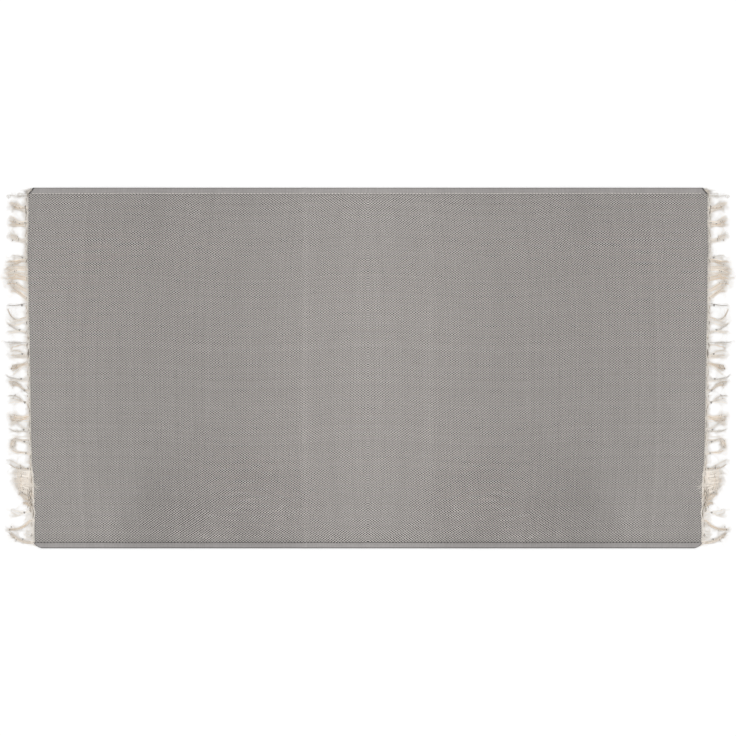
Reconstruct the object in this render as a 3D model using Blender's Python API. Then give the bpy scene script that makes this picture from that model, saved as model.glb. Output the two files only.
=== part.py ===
# Hammam towel, laid flat with its face up. One woven length has its two long edges turned as hems.
# At each cut end the warp is left bare for a narrow band and then bunched into a fringe of loose locks.

import random
from collections import namedtuple

import bmesh
import bpy
from mathutils import Vector

# Metres. X runs along the towel, Y across it, and Z up from the surface that it lies on.
TOWEL_WIDTH = 0.900         # from hem to hem
CLOTH_THICKNESS = 0.0014    # one layer of the weave
CLOTH_COLUMNS = 13          # divisions along the cloth
BAND_THICKNESS = 0.0014     # the bare warp past each cut end
PIECE_GAP = 0.0003          # between the cloth and each band
STRAND_WIDTH = 0.0024       # one strand of a lock where it leaves the band
STRAND_SPACE = 0.0006       # between two strands there
STRAND_RINGS = 4            # sections along a strand
TIP_SHARE = 0.50            # a strand's width at its tip, as a share of its width at the root
TIP_HEIGHT = 0.0007
CROWN_SHARE = 0.60          # the width of a strand's top, as a share of its foot
SHORTEST_SHARE = 0.80       # the shortest strand of a lock, as a share of the lock's length
STRAND_SEED = 11
SMOOTH_ANGLE = 0.6          # radians; faces that meet at less are shaded as one
CLOTH_COLOUR = (0.323, 0.302, 0.286)
YARN_COLOUR = (0.760, 0.660, 0.540)
COTTON_ROUGHNESS = 0.92

MM = 0.001                  # the tables below are in millimetres

# A hem's section: how far in from the long edge, and the heights of its underside and its face.
# Three layers lie under the pressed fold, and the row of stitches draws a shallow groove beside it.
HemRow = namedtuple("HemRow", "inset under face")
HEM = (
    HemRow(0.0, 0.9, 2.0),
    HemRow(0.5, 0.3, 2.6),
    HemRow(1.5, 0.0, 3.0),
    HemRow(12.0, 0.0, 2.8),
    HemRow(13.4, 0.0, 1.3),
    HemRow(14.6, 0.0, 1.2),
    HemRow(16.0, 0.0, CLOTH_THICKNESS / MM),
)

# A cut end, from the top edge down: the place across the towel, how far the cloth reaches from the
# towel's middle there, and how wide the bare band is past it. Both ends have this shape, mirrored.
EndRow = namedtuple("EndRow", "y cloth band")
CUT_END = (
    EndRow(450.0, 834.5, 18.5),
    EndRow(448.5, 837.5, 18.0),
    EndRow(445.0, 842.0, 16.5),
    EndRow(440.0, 846.5, 14.5),
    EndRow(434.0, 849.5, 12.5),
    EndRow(414.0, 850.5, 11.5),
    EndRow(338.0, 851.0, 10.5),
    EndRow(296.0, 852.0, 9.5),
    EndRow(204.0, 850.0, 11.0),
    EndRow(140.0, 849.0, 11.5),
    EndRow(78.0, 847.5, 12.0),
    EndRow(-8.0, 846.0, 11.0),
    EndRow(-104.0, 845.0, 10.0),
    EndRow(-168.0, 844.0, 10.5),
    EndRow(-232.0, 842.0, 11.5),
    EndRow(-294.5, 837.0, 14.5),
    EndRow(-350.0, 838.0, 15.5),
    EndRow(-380.0, 837.0, 19.5),
    EndRow(-412.0, 836.0, 20.5),
    EndRow(-440.0, 834.0, 16.0),
    EndRow(-444.5, 829.0, 13.0),
    EndRow(-448.5, 822.0, 11.0),
    EndRow(-450.0, 816.0, 10.0),
)
BAND_TOP = 449.0            # the bands stop just inside the long edges
BAND_FOOT = -449.0

# The locks of a fringe, from the top down: where the root stands across the towel, how far to the
# side the middle bends and the tip ends, how far the tip reaches past the band, how wide the tips
# fan out, and how many strands it has.
Lock = namedtuple("Lock", "root bend tip reach fan strands")
LOCKS = (
    Lock(431.0, 0.0, -1.0, 38.0, 6.0, 2),
    Lock(391.0, 4.0, 14.0, 40.0, 22.0, 5),
    Lock(361.0, 0.0, 1.0, 43.0, 27.0, 7),
    Lock(314.0, 4.0, 26.0, 34.0, 14.0, 4),
    Lock(277.0, -1.0, -5.0, 41.0, 15.0, 4),
    Lock(250.0, 0.0, 1.0, 46.0, 20.0, 5),
    Lock(220.0, 2.0, 10.0, 51.0, 20.0, 6),
    Lock(187.0, 6.0, 22.0, 47.0, 13.0, 5),
    Lock(157.0, 0.0, -2.0, 50.0, 9.0, 3),
    Lock(122.0, -1.0, 20.0, 50.0, 15.0, 5),
    Lock(95.0, 0.0, 7.0, 46.0, 13.0, 4),
    Lock(61.0, 0.0, -1.0, 56.0, 15.0, 5),
    Lock(34.0, 1.0, 3.0, 44.0, 20.0, 5),
    Lock(8.0, -2.0, -8.0, 49.0, 21.0, 6),
    Lock(-26.0, 1.0, 5.0, 50.0, 8.0, 3),
    Lock(-56.0, 8.0, 18.0, 44.0, 19.0, 7),
    Lock(-86.0, 7.0, 14.0, 48.0, 17.0, 5),
    Lock(-124.0, 1.0, -4.0, 52.0, 27.0, 8),
    Lock(-155.0, 0.0, 0.0, 50.0, 7.0, 3),
    Lock(-184.0, 5.0, 1.0, 51.0, 22.0, 6),
    Lock(-215.0, 0.0, 12.0, 52.0, 13.0, 5),
    Lock(-250.0, -2.0, 19.0, 55.0, 15.0, 6),
    Lock(-280.0, 4.0, 15.0, 41.0, 20.0, 8),
    Lock(-309.0, 5.0, 19.0, 43.0, 19.0, 8),
    Lock(-336.0, 8.0, 24.0, 43.0, 15.0, 7),
    Lock(-362.0, -7.0, 2.0, 52.0, 11.0, 4),
    Lock(-395.0, -4.0, -7.0, 55.0, 9.0, 5),
    Lock(-429.0, 5.0, 12.0, 56.0, 11.0, 6),
)


def clear_scene():
    for old in list(bpy.data.objects):
        bpy.data.objects.remove(old)


def table_value(rows, key, at, column):
    """A column's value at a place between two rows, the rows being in order of their key."""
    for row, following in zip(rows, rows[1:]):
        first, last = getattr(row, key), getattr(following, key)
        if min(first, last) <= at <= max(first, last):
            share = (at - first) / (last - first)
            return getattr(row, column) + share * (getattr(following, column) - getattr(row, column))
    return getattr(rows[-1], column)


def cloth_reach(y):
    return table_value(CUT_END, "y", y, "cloth")


def band_reach(y):
    return cloth_reach(y) + table_value(CUT_END, "y", y, "band")


def finish_object(name, bm, material):
    """Makes an object of a closed mesh, with its faces pointing out and its rounded edges smooth."""
    bmesh.ops.recalc_face_normals(bm, faces=bm.faces)
    mesh = bpy.data.meshes.new(name)
    bm.to_mesh(mesh)
    bm.free()
    mesh.materials.append(material)
    mesh.shade_smooth()
    mesh.set_sharp_from_angle(angle=SMOOTH_ANGLE)
    piece = bpy.data.objects.new(name, mesh)
    bpy.context.scene.collection.objects.link(piece)
    return piece


def cotton(name, colour):
    material = bpy.data.materials.new(name)
    material.use_nodes = True
    shader = material.node_tree.nodes["Principled BSDF"]
    shader.inputs["Base Color"].default_value = (*colour, 1.0)
    shader.inputs["Roughness"].default_value = COTTON_ROUGHNESS
    shader.inputs["Metallic"].default_value = 0.0
    return material


# The cloth, with its hems

def cloth_rows():
    """Places across the cloth, from one long edge to the other: the hems' steps and the ends' waves."""
    edge = TOWEL_WIDTH / MM / 2
    places = {row.y for row in CUT_END}
    for row in HEM:
        places.update((edge - row.inset, row.inset - edge))
    return sorted(places, reverse=True)


def build_cloth(material):
    bm = bmesh.new()
    edge = TOWEL_WIDTH / MM / 2
    rows = cloth_rows()
    faces_up = []
    undersides = []
    for column in range(CLOTH_COLUMNS + 1):
        share = 2 * column / CLOTH_COLUMNS - 1
        up, under = [], []
        for y in rows:
            inset = min(edge - abs(y), HEM[-1].inset)
            x = share * cloth_reach(y)
            up.append(bm.verts.new(Vector((x, y, table_value(HEM, "inset", inset, "face"))) * MM))
            under.append(bm.verts.new(Vector((x, y, table_value(HEM, "inset", inset, "under"))) * MM))
        faces_up.append(up)
        undersides.append(under)

    for sheet in (faces_up, undersides):
        for left, right in zip(sheet, sheet[1:]):
            for row in range(len(rows) - 1):
                bm.faces.new((left[row], right[row], right[row + 1], left[row + 1]))
    for column in (0, -1):                      # the cut ends
        up, under = faces_up[column], undersides[column]
        for row in range(len(rows) - 1):
            bm.faces.new((up[row], up[row + 1], under[row + 1], under[row]))
    for row in (0, -1):                         # the outer edges of the hems
        for column in range(CLOTH_COLUMNS):
            bm.faces.new((faces_up[column][row], faces_up[column + 1][row],
                          undersides[column + 1][row], undersides[column][row]))
    return finish_object("cloth", bm, material)


# The fringe: a band and its locks

def band_inner_edge(cuts):
    """The band's edge beside the cloth: the cloth's outline moved out by the gap, at each cut."""
    outline = [Vector((cloth_reach(y), y)) for y in cuts]
    moved = []
    for place, point in enumerate(outline):
        before = outline[max(place - 1, 0)]
        after = outline[min(place + 1, len(outline) - 1)]
        along = (after - before).normalized()
        outward = Vector((-along.y, along.x))
        moved.append(point + outward * PIECE_GAP / MM)
    return moved


def strand_places(lock):
    """Where each strand of a lock stands, from -1 at its lowest to 1 at its highest."""
    last = lock.strands - 1
    return [2 * number / last - 1 for number in range(lock.strands)]


def root_spread(lock):
    return (lock.strands - 1) * (STRAND_WIDTH + STRAND_SPACE) / MM


def lock_centre(lock, along):
    """A point on a lock's centre line and the direction to its upper side, in the band's plane."""
    root = Vector((band_reach(lock.root), lock.root))
    middle = root + Vector((lock.reach / 2, lock.bend))
    tip = root + Vector((lock.reach, lock.tip))
    point = (1 - along) ** 2 * root + 2 * along * (1 - along) * middle + along ** 2 * tip
    heading = ((1 - along) * (middle - root) + along * (tip - middle)).normalized()
    return point, Vector((-heading.y, heading.x))


def strand_sections(lock, place, length_share):
    """Corners of each section of one strand past its root: foot low and high, then top high and low."""
    sections = []
    for ring in range(1, STRAND_RINGS + 1):
        along = length_share * ring / STRAND_RINGS
        point, sideways = lock_centre(lock, along)
        spread = root_spread(lock) + along * (lock.fan - root_spread(lock))
        centre = point + sideways * place * spread / 2
        taper = ring / STRAND_RINGS
        foot = STRAND_WIDTH / MM * (1 + taper * (TIP_SHARE - 1)) / 2
        top = foot * CROWN_SHARE
        height = (BAND_THICKNESS + taper * (TIP_HEIGHT - BAND_THICKNESS)) / MM
        sections.append((
            (centre - sideways * foot).to_3d(),
            (centre + sideways * foot).to_3d(),
            (centre + sideways * top).to_3d() + Vector((0, 0, height)),
            (centre - sideways * top).to_3d() + Vector((0, 0, height)),
        ))
    return sections


def add_strand(bm, root, sections, side):
    """Runs a four-sided strand out from the four corners of its root in the band's wall."""
    ring = root
    for corners in sections:
        following = [bm.verts.new(Vector((side * c.x, c.y, c.z)) * MM) for c in corners]
        for corner in range(4):
            other = (corner + 1) % 4
            bm.faces.new((ring[corner], ring[other], following[other], following[corner]))
        ring = following
    bm.faces.new(ring)


def band_cuts():
    """Places where the band is divided: the rows of the cut end, and midway between two locks."""
    cuts = {BAND_TOP, BAND_FOOT}
    cuts.update(row.y for row in CUT_END if BAND_FOOT < row.y < BAND_TOP)
    for upper, lower in zip(LOCKS, LOCKS[1:]):
        above = upper.root - root_spread(upper) / 2
        below = lower.root + root_spread(lower) / 2
        if not any(below < cut < above for cut in cuts):
            cuts.add((above + below) / 2)
    return sorted(cuts, reverse=True)


def build_fringe(name, side, material):
    bm = bmesh.new()
    dice = random.Random(STRAND_SEED)
    half_strand = STRAND_WIDTH / MM / 2

    def post(x, y):
        """A corner of the band: a low point and a high one above it."""
        return [bm.verts.new(Vector((side * x, y, z)) * MM) for z in (0, BAND_THICKNESS / MM)]

    cuts = band_cuts()
    inner = [post(*point) for point in band_inner_edge(cuts)]
    outer = [post(band_reach(y), y) for y in cuts]
    for cell in range(len(cuts) - 1):           # between two cuts the band carries one lock at most
        wall = [outer[cell]]
        for lock in LOCKS:
            if not cuts[cell + 1] < lock.root < cuts[cell]:
                continue
            for place in reversed(strand_places(lock)):
                y = lock.root + place * root_spread(lock) / 2
                high = post(band_reach(y + half_strand), y + half_strand)
                low = post(band_reach(y - half_strand), y - half_strand)
                length_share = 1 - (1 - SHORTEST_SHARE) * dice.random()
                sections = strand_sections(lock, place, length_share)
                add_strand(bm, (low[0], high[0], high[1], low[1]), sections, side)
                wall += [high, low]
        wall.append(outer[cell + 1])
        for first, second in zip(wall[::2], wall[1::2]):        # the wall beside the strands
            bm.faces.new((first[0], first[1], second[1], second[0]))
        bm.faces.new((inner[cell][0], inner[cell][1], inner[cell + 1][1], inner[cell + 1][0]))
        outline = wall + [inner[cell + 1], inner[cell]]
        bm.faces.new([corner[0] for corner in outline])
        bm.faces.new([corner[1] for corner in outline])
    for end in (0, -1):
        bm.faces.new((inner[end][0], inner[end][1], outer[end][1], outer[end][0]))
    return finish_object(name, bm, material)


clear_scene()
build_cloth(cotton("cloth", CLOTH_COLOUR))
yarn = cotton("fringe", YARN_COLOUR)
build_fringe("fringe_left", -1, yarn)
build_fringe("fringe_right", 1, yarn)
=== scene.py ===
import math

import bpy
import numpy as np
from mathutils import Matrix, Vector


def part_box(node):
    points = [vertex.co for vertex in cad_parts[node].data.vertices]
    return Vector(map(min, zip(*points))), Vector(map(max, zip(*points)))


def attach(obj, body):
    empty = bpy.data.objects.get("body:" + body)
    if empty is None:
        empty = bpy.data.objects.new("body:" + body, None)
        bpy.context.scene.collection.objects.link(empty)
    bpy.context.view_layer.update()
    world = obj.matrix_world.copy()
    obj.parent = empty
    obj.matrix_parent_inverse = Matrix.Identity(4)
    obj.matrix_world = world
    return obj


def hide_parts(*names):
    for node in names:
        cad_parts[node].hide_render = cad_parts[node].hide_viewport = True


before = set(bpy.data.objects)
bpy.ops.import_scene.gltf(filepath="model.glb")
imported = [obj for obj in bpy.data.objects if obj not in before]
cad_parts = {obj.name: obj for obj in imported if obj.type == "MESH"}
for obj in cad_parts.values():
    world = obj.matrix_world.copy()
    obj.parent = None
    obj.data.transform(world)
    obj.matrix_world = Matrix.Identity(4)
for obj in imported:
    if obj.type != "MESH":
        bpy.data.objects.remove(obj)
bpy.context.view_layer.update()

mm = 0.001
pi = math.pi
print("towel: the packed frame is loaded")


# Nodes: one call adds any node, and a Wire is a socket that Python's own maths works on

def addNode(tree, kind, settings=None, inputs=None):
    node = tree.nodes.new(kind)
    for name, value in (settings or {}).items():
        setattr(node, name, value)
    for name, value in (inputs or {}).items():
        socket = node.inputs[name]
        if isinstance(value, Wire):
            value = value.socket
        if isinstance(value, bpy.types.NodeSocket):
            tree.links.new(value, socket)
        else:
            socket.default_value = value
    return node


def maths(operation, turned=False):  # a method that adds a Math node; turned swaps its two values
    def method(self, *others):
        values = (self, *others)[::-1] if turned else (self, *others)
        node = addNode(self.tree, "ShaderNodeMath", {"operation": operation}, dict(enumerate(values)))
        return Wire(node.outputs[0])
    return method


class Wire:
    def __init__(self, socket):
        self.socket = socket
        self.tree = socket.id_data

    __add__, __radd__ = maths("ADD"), maths("ADD", True)
    __sub__, __rsub__ = maths("SUBTRACT"), maths("SUBTRACT", True)
    __mul__, __rmul__ = maths("MULTIPLY"), maths("MULTIPLY", True)
    __truediv__, __rtruediv__ = maths("DIVIDE"), maths("DIVIDE", True)
    __lt__, __abs__, larger = maths("LESS_THAN"), maths("ABSOLUTE"), maths("MAXIMUM")
    floor, fract, sine, cosine = maths("FLOOR"), maths("FRACT"), maths("SINE"), maths("COSINE")


def separate(vector):
    node = addNode(vector.id_data, "ShaderNodeSeparateXYZ", None, {0: vector})
    return [Wire(socket) for socket in node.outputs]


def combine(x, y, z=0.0):
    tree = next(value.tree for value in (x, y, z) if isinstance(value, Wire))
    return addNode(tree, "ShaderNodeCombineXYZ", None, {0: x, 1: y, 2: z}).outputs[0]


def mixColours(factor, first, second, beyond=False):  # beyond: the factor may pass 0 and 1
    node = addNode(factor.tree, "ShaderNodeMix", {"data_type": "RGBA", "clamp_factor": not beyond},
                   {0: factor, 6: first, 7: second})
    return node.outputs[2]


def mixValues(factor, first, second):
    return first + factor * (second - first)


def noise(vector, scale, detail):  # about -0.5 to 0.5
    node = addNode(vector.id_data, "ShaderNodeTexNoise", None,
                   {"Vector": vector, "Scale": scale, "Detail": detail})
    return Wire(node.outputs[0]) - 0.5


def spots(along, across, counts, layer=0.0):  # noise with its own number of spots a metre each way
    return noise(combine(along * counts[0], across * counts[1], layer), 1, 1)


def chance(value):  # a fixed random number from -0.5 to 0.5 for each whole value
    node = addNode(value.tree, "ShaderNodeTexWhiteNoise", {"noise_dimensions": "1D"}, {"W": value})
    return Wire(node.outputs["Value"]) - 0.5


def attribute(tree, name, output="Fac"):
    return addNode(tree, "ShaderNodeAttribute", {"attribute_name": name}).outputs[output]


def scaleColour(colour, level):  # a colour made lighter or darker by a wire
    node = addNode(level.tree, "ShaderNodeVectorMath", {"operation": "SCALE"}, {0: colour, "Scale": level})
    return node.outputs[0]


cottonLook = {"Roughness": 0.92, "Specular IOR Level": 0.25, "Sheen Weight": 0.12, "Sheen Roughness": 0.6}


def cotton(name, paint):  # paint gives a colour, a height and the depth of that height's relief
    material = bpy.data.materials.new(name)
    material.use_nodes = True
    tree = material.node_tree
    tree.nodes.clear()
    colour, height, depth = paint(tree)
    bump = addNode(tree, "ShaderNodeBump", None, {"Height": height, "Distance": depth, "Strength": 1.0})
    shader = addNode(tree, "ShaderNodeBsdfPrincipled", None,
                     {"Base Color": colour, "Normal": bump.outputs[0], **cottonLook})
    addNode(tree, "ShaderNodeOutputMaterial", None, {"Surface": shader.outputs[0]})
    return material


# The woven cloth: cream warp along the towel, grey weft across it, in a bird's-eye check

weave = {
    "checkLength": 7.76 * mm,  # one repeat along the towel
    "checkWidth": 5.95 * mm,  # one repeat across it
    "wefts": 10,  # yarns in a repeat
    "warps": 8,
    "yarnDepth": 0.16 * mm,
    "warpColour": (0.630, 0.596, 0.566, 1),
    "weftColour": (0.095, 0.0893, 0.085, 1),
    "hemColour": (0.295, 0.280, 0.273, 1),
    # painted shadow in the open end of the upper hem's fold, at the towel's cut ends
    "hemEndShadowColour": (0.030, 0.028, 0.026, 1),
    "lineShare": 0.32,  # share of a repeat that each slanting cream line takes
    "lines": 0.82,  # strength of the cream lines
    "firstLines": 0.82,  # strength of those of the first slant, where the second slant's is 1
    "darkest": -0.17,  # least share of cream, where the lines are strong
    "rowBow": 15.4 * mm,  # how far the warp wanders off straight
    "rowBowLength": 625 * mm,
    "columnBow": 21.8 * mm,  # how far the weft bows across the towel
    "columnBowMiddle": -30 * mm,
    "columnBowReach": 430 * mm,
    "unevenness": 2.5 * mm,  # how far both drift in spots, so many a metre
    "columnSpots": 9,
    "rowSpots": 11,
    "firmRows": 0.17,  # rows of firmer and looser weave, about 30 mm apart
    "firmRowPlaces": (2, 307.5, 36),  # how these follow the yarn rows, the height and its cube
    "firmDashes": 1.8,  # short dashes of firmer weave, so many a metre along and across
    "dashSpots": (30, 160),
    "firmPatches": 0.5,  # patches of firmer weave, so many a metre in each slant
    "firstSpots": 24,
    "secondSpots": 31,
    "slubs": 0.22,  # thick and thin places, so many a metre of yarn
    "slubSpots": 30,
    "yarnStep": 0.61,  # how unlike two yarns side by side are
    "yarnTones": 0.14,  # how far yarns differ in lightness
    "streaks": 0.05,  # faint streaks, so many a metre along and across
    "weftStreaks": (40, 4),
    "warpStreaks": (3, 60),
    "clouds": 0.06,  # soft lighter and darker spots, so many a metre
    "cloudSpots": 16,
    "hollowShade": 0.25,  # painted shade in the hollows between yarns: how much darker they are
}


def paintCloth(tree):
    place = addNode(tree, "ShaderNodeTexCoord").outputs["Object"]
    x, y = separate(place)[:2]
    along = abs(x)
    half = combine(along, y)
    bow = 1 - (along * (2 * pi / weave["rowBowLength"])).cosine()
    rowShift = bow * (along < weave["rowBowLength"]) * (weave["rowBow"] / 2)
    lean = (y - weave["columnBowMiddle"]) / weave["columnBowReach"]
    columnShift = lean * lean * weave["columnBow"]
    columnDrift = noise(half, weave["columnSpots"], 1) * (2 * weave["unevenness"])
    rowDrift = noise(combine(y, along, 0.4), weave["rowSpots"], 1) * (2 * weave["unevenness"])
    column = (along + columnShift + columnDrift) / weave["checkLength"]
    row = (y + rowShift + rowDrift) / weave["checkWidth"]
    weftPlace = column * weave["wefts"]
    warpPlace = row * weave["warps"]
    weftNumber = weftPlace.floor()
    warpNumber = warpPlace.floor()
    # Where each slant's cream line runs, and how firm it is
    first = (weftNumber / weave["wefts"] + warpNumber / weave["warps"]).fract() < weave["lineShare"]
    second = (weftNumber / weave["wefts"] - warpNumber / weave["warps"]).fract() < weave["lineShare"]
    warpUp = first.larger(second)
    byRow, byHeight, byCube = weave["firmRowPlaces"]
    beat = row * byRow - y * byHeight + y * y * y * byCube
    firm = (beat * (2 * pi)).sine() * weave["firmRows"] + 1
    firm = firm + spots(along, y, weave["dashSpots"], 0.7) * weave["firmDashes"]
    firstPatches = noise(half, weave["firstSpots"], 1) * weave["firmPatches"]
    secondPatches = noise(half, weave["secondSpots"], 1) * weave["firmPatches"]
    firstFirm = Wire(attribute(tree, "firstLines")) * (firm + firstPatches)
    secondFirm = Wire(attribute(tree, "secondLines")) * (firm + secondPatches)
    cream = (first - weave["lineShare"]) * firstFirm + (second - weave["lineShare"]) * secondFirm
    cream = cream * 0.5 + weave["lineShare"]
    # The round yarns, warp over weft in the lines and in the hems
    acrossWeft = weftPlace.fract() - 0.5
    acrossWarp = warpPlace.fract() - 0.5
    weftRound = 1 - acrossWeft * acrossWeft * 4
    warpRound = 1 - acrossWarp * acrossWarp * 4
    hem = Wire(attribute(tree, "hem"))
    hemEndShadow = Wire(attribute(tree, "hemEndShadow"))
    height = mixValues(warpUp, weftRound, warpRound)
    height = mixValues(hem, height, warpRound)
    warpSlubs = spots(along, warpNumber, (weave["slubSpots"], weave["yarnStep"])) * weave["slubs"]
    weftSlubs = spots(weftNumber, y, (weave["yarnStep"], weave["slubSpots"])) * weave["slubs"]
    warpTone = chance(warpNumber) * weave["yarnTones"]
    weftTone = chance(weftNumber + 0.5) * weave["yarnTones"]
    yarnTone = 1 + warpTone + weftTone + warpSlubs + weftSlubs
    weftStreaks = spots(along, y, weave["weftStreaks"]) * weave["streaks"]
    warpStreaks = spots(along, y, weave["warpStreaks"]) * weave["streaks"]
    clouds = noise(half, weave["cloudSpots"], 2) * weave["clouds"]
    # the face's lightness with its painted light and shade, and random clouds and streaks
    patches = Wire(attribute(tree, "faceToneAndShade")) + clouds + (weftStreaks + warpStreaks)
    # painted shade: each yarn darkens towards the hollows at its sides
    shade = height * weave["hollowShade"] + (1 - weave["hollowShade"])
    woven = mixColours(cream.larger(weave["darkest"]), weave["weftColour"], weave["warpColour"], True)
    colour = mixColours(hem, woven, weave["hemColour"])
    colour = scaleColour(colour, yarnTone * patches * shade)
    # painted shadow where the upper hem's fold opens at the cut ends
    colour = mixColours(hemEndShadow, colour, weave["hemEndShadowColour"])
    return colour, height, weave["yarnDepth"]


clothFinish = cotton("grey and cream bird's-eye cotton", paintCloth)

# The towel's ends, from the upper hem to the lower: y, reach of the cloth, width of the bare band
endRows = [
    (450, 837.5, 17), (446, 839.5, 19), (442.5, 842, 18), (437.5, 847, 14), (433, 850, 12),
    (414, 850.5, 11.5), (338, 851, 10.5), (296, 852, 9.5), (204, 850, 11), (140, 849, 11.5),
    (78, 847.5, 12), (-8, 846, 11), (-104, 845, 10), (-168, 844, 10.5), (-232, 842, 11.5),
    (-294.5, 837, 14.5), (-350, 836, 14.5), (-380, 835, 18), (-412, 836, 20.5), (-436, 835, 17),
    (-440, 834, 8), (-444.5, 829, 2), (-448.5, 822, 1), (-450, 816, 0),
]
endTable = np.array(endRows[::-1]) * mm


def clothReach(y):
    return np.interp(y, endTable[:, 0], endTable[:, 1])


def bandWidth(y):
    return np.interp(y, endTable[:, 0], endTable[:, 2])


cloth = {
    "halfWidth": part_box("cloth")[1][1] + 0.5 * mm,
    "flatLength": 1.70,
    "thickness": 0.8 * mm,
    "stations": 150,  # along the towel
    "foldStations": (-12, -8.5, -6, -4, -2, 0, 2, 4, 6, 8.5, 12),  # more of them about a pressed fold, in mm
    "foldClear": 13 * mm,
    "endStations": (9, 6.5, 4.5, 3.2, 2.2, 1.4, 0.7, 0),  # and before the cut end, in mm
    "endClear": 12 * mm,
    "rows": 76,  # across it, between the hems
    "upperHem": 15.8 * mm,
    "lowerHem": 14.5 * mm,
    "hemRise": 3.0 * mm,
    "hemTuck": 9.0 * mm,  # how far the raw edge runs back inside the hem
    "hemRows": (20, 12, 7, 3.6, 1.8, 0.8, 0.2, -0.6, -2.5),  # rows under a hem's inner edge, in mm
    "innerFold": 0.5 * mm,  # radius of the raw edge's fold
    "hemBlend": 0.6 * mm,  # width over which the weave turns plain at a hem
    "hemTop": 1.6 * mm,  # the hem's upper layers lie above this
    "hemEndShadowWidth": 3.0 * mm,
    "hemEndShadowFade": 1.6,  # widths over which the painted shadow at a hem's open cut end fades, full up to the last one
    "pucker": 0.12 * mm,  # small waves along the hems
    "puckerLength": 13 * mm,
    "puckerDrift": 57 * mm,
}
pressedFold = {
    "place": 157.5 * mm,
    "width": 6 * mm,
    "height": 0.9 * mm,
    # painted highlight along the crest of each pressed fold, the left one stronger
    "leftHighlight": 0.085,
    "rightHighlight": 0.035,
    "wander": 2 * mm,
    "wanderLength": 95 * mm,
}
edgeShade = {
    "upperRimShade": 0.42,  # painted shade on the towel's rounded long edges: how much it darkens them
    "lowerRimShade": 0.72,
    "rimWidth": 1.8 * mm,
    "rimFade": 1.6,  # widths over which that fades, full up to the last one
    "cutEnd": 0.22,  # how much the cut ends darken
    "cutEndWidth": 3.1 * mm,
    "cutEndFade": 1.7,
    "groove": 0.30,  # painted shade in the groove along the lower hem's inner fold: how much it darkens
    "grooveWidth": 1.4 * mm,
    "grooveShift": 0.4 * mm,
}

# Soft places of the face, in mm: along, across, half length, half width, change.
# First in lightness, partly fading of the cloth and partly painted light and shade of its gentle rises,
# then in the strength of the cream lines of each slant
lightPlaces = [
    (0, 0, 85, 900, 0.030), (0, 0, 290, 750, 0.085), (500, -450, 130, 210, -0.085),
    (415, -440, 260, 120, -0.030), (430, -265, 170, 130, -0.050), (790, -330, 110, 170, 0.045),
    (840, 60, 90, 420, 0.030), (745, -60, 90, 260, 0.035), (590, 60, 110, 170, 0.020),
    (820, -410, 40, 100, -0.040), (668, -370, 50, 70, 0.035), (280, -430, 120, 30, -0.030),
    (470, 430, 330, 90, -0.030), (560, 130, 160, 420, -0.022), (300, 0, 110, 600, -0.006),
    (250, -355, 130, 130, -0.065), (450, 415, 900, 45, -0.004), (0, 415, 70, 45, -0.022),
    (0, 70, 430, 120, 0.022), (820, -110, 60, 40, 0.020), (370, -360, 110, 70, -0.022),
    (720, -340, 150, 50, 0.018), (0, -425, 170, 40, -0.025), (600, 360, 140, 70, -0.022),
    (360, -365, 200, 90, 0.040),
]
firstPlaces = [
    (450, 300, 700, 330, 0.42), (450, 390, 700, 130, 0.22), (330, -385, 220, 85, 0.62),
    (265, -300, 150, 90, 0.42), (740, 422, 70, 30, 0.38), (560, 330, 120, 60, 0.16),
    (760, -230, 190, 170, -0.32), (350, -120, 500, 120, -0.12), (75, -422, 45, 22, 0.75),
    (112, -390, 35, 18, 0.60), (0, -425, 170, 45, 0.35), (600, -400, 160, 60, 0.15), (0, 310, 130, 45, -0.20),
    (0, -260, 1500, 300, 0.12),
]
secondPlaces = [
    (760, 200, 200, 190, 0.31), (580, 340, 260, 110, 0.38), (330, -340, 230, 140, 0.50),
    (320, -370, 170, 70, 0.22), (820, -320, 60, 120, 0.20), (0, 420, 150, 50, 0.30),
    (420, -190, 250, 90, 0.22), (200, 180, 130, 130, -0.15), (0, -425, 170, 45, 0.35),
    (600, -400, 160, 60, 0.15), (760, -170, 130, 60, 0.20), (0, 310, 130, 45, -0.20),
    (0, -260, 1500, 300, 0.12),
]
darkSpots = [(125, 312, 12, 22, -0.05), (120, 25, 13, 26, -0.05), (133, -75, 16, 16, 0.04)]
# Gentle rises of the laid cloth: along, across, half length, half width, height, all in mm
swells = [
    (-620, 250, 230, 260, 1.0), (-330, -120, 190, 330, 0.8), (40, 210, 210, 240, 0.9),
    (330, -260, 260, 210, 1.1), (640, 60, 200, 330, 0.9), (-560, -330, 230, 140, 0.9),
    (-60, -300, 240, 160, 0.8), (560, 370, 250, 120, 0.7),
]


def softPlaces(rows, x, y):  # sum of soft round places, each 1 in its middle
    total = np.zeros_like(x)
    for placeX, placeY, reachX, reachY, change in rows:
        far = ((x / mm - placeX) / reachX) ** 2 + ((y / mm - placeY) / reachY) ** 2
        near = np.clip(1 - far / 1.4, 0, 1)
        total += change * near * near * (3 - 2 * near)
    return total


def foldOffset(x, y, side):  # distance from one of the two pressed folds, in widths of the fold
    wander = pressedFold["wander"] * np.sin(y / pressedFold["wanderLength"] + side)
    return (x - side * pressedFold["place"] - wander) / pressedFold["width"]


def liftAt(x, y):  # how far the cloth stands off the floor
    lift = softPlaces(swells, x, y) * mm
    for side in (-1, 1):
        lift += pressedFold["height"] * np.exp(-foldOffset(x, y, side) ** 2)
    return lift


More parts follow.
